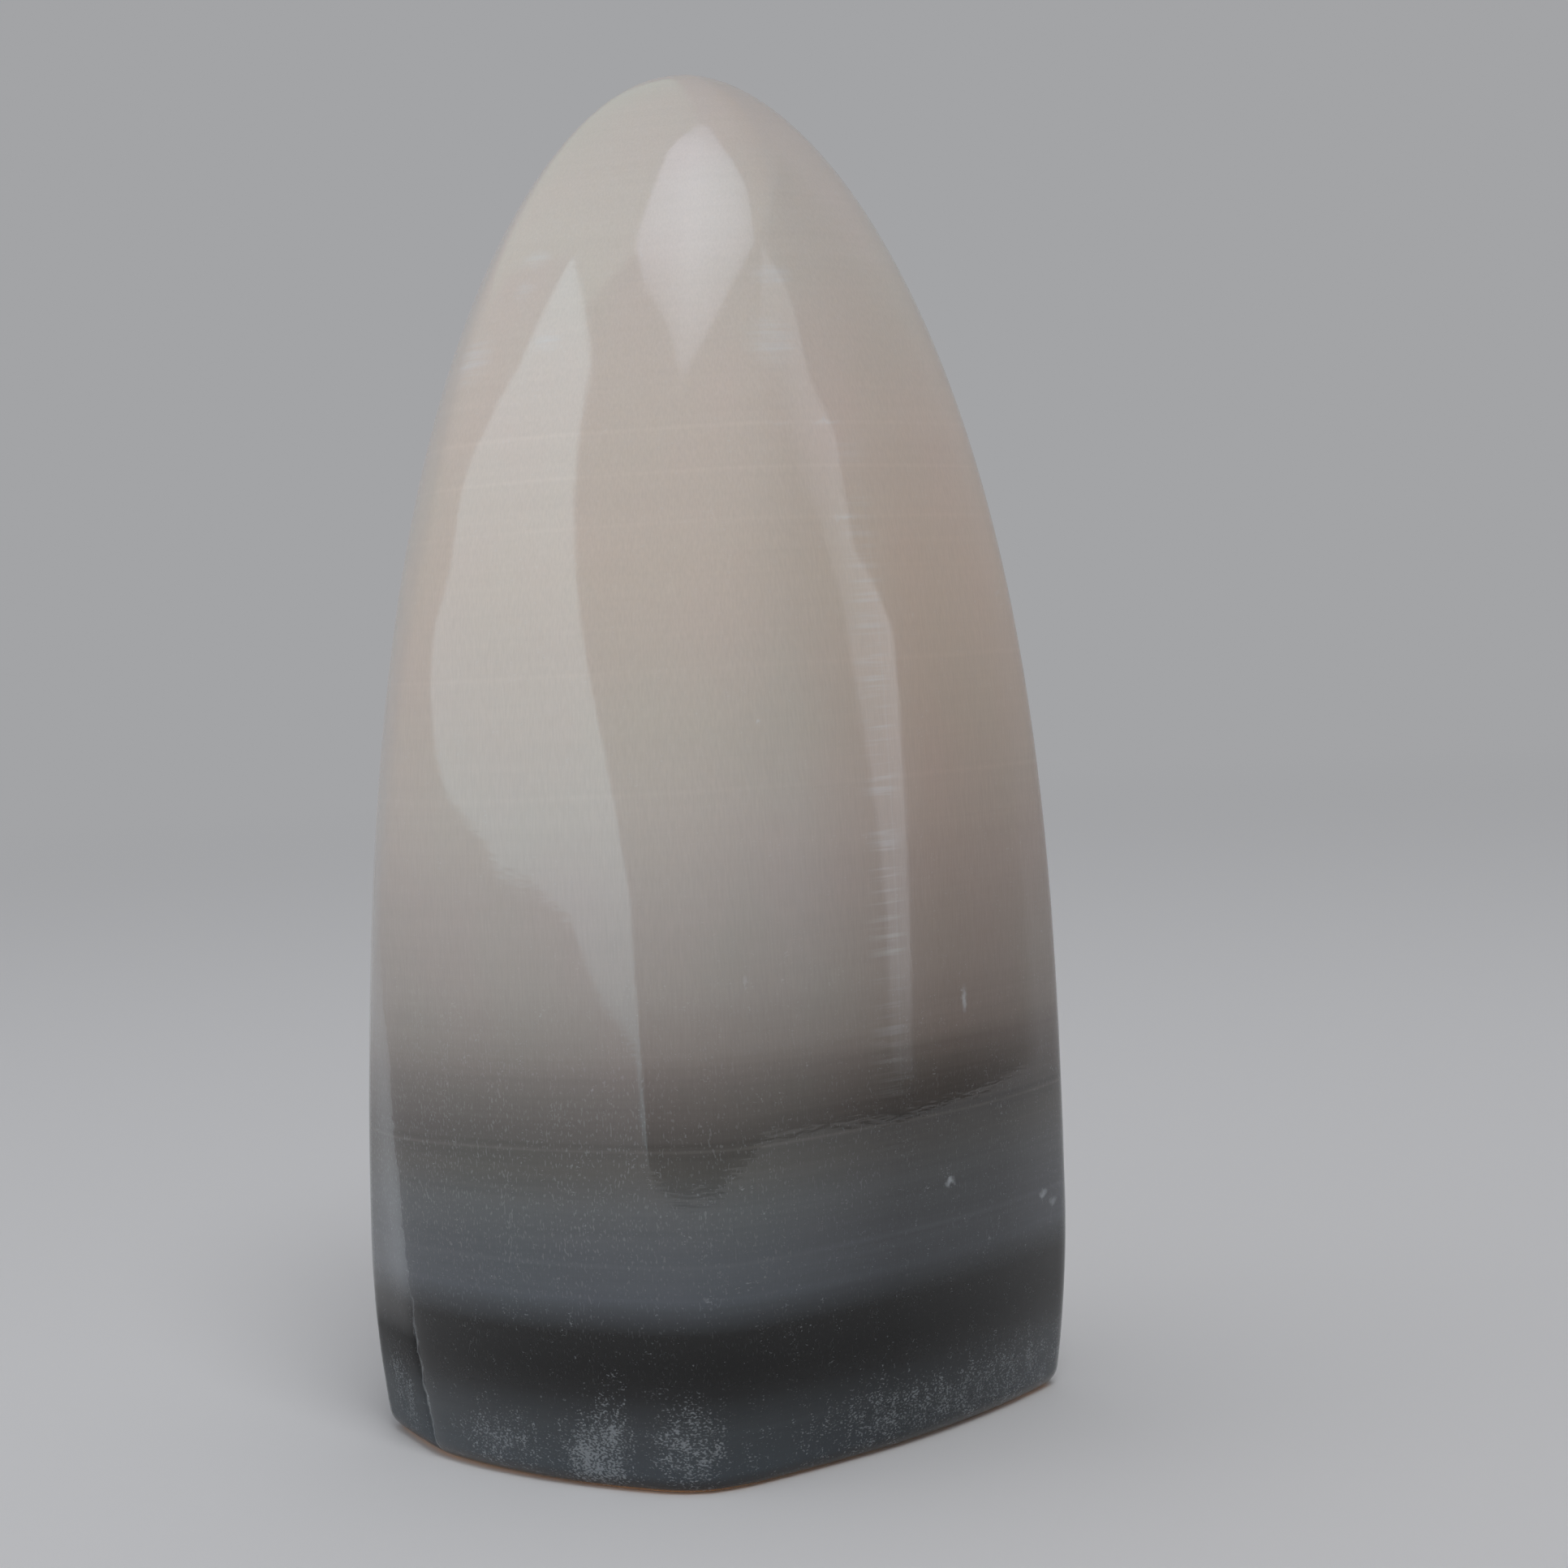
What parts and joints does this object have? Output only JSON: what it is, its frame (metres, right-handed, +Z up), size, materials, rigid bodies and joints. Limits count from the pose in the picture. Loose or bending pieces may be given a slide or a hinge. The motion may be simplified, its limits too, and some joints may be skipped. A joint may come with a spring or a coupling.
{
  "type": "polished pink calcite freeform",
  "caption": "Free-standing polished calcite stone: a tall blunt point with gently domed ground faces on a flat-cut foot, pale cream-pink above a dark layered base.",
  "frame": {"origin": "middle of the flat foot, on the surface the stone stands on, under the middle of the stone's outline", "axes": "+Z up along the stone's length, -Y out of the front corner between the two wide faces, +X towards the right-hand face as seen from the front"},
  "size_m": [0.055, 0.0488, 0.1048],
  "materials": {
    "polished_calcite": "ground and polished by hand to a soft gloss, slightly translucent"
  },
  "bodies": {
    "root": {"calcite_stone": "polished_calcite"}
  },
  "joints": []
}
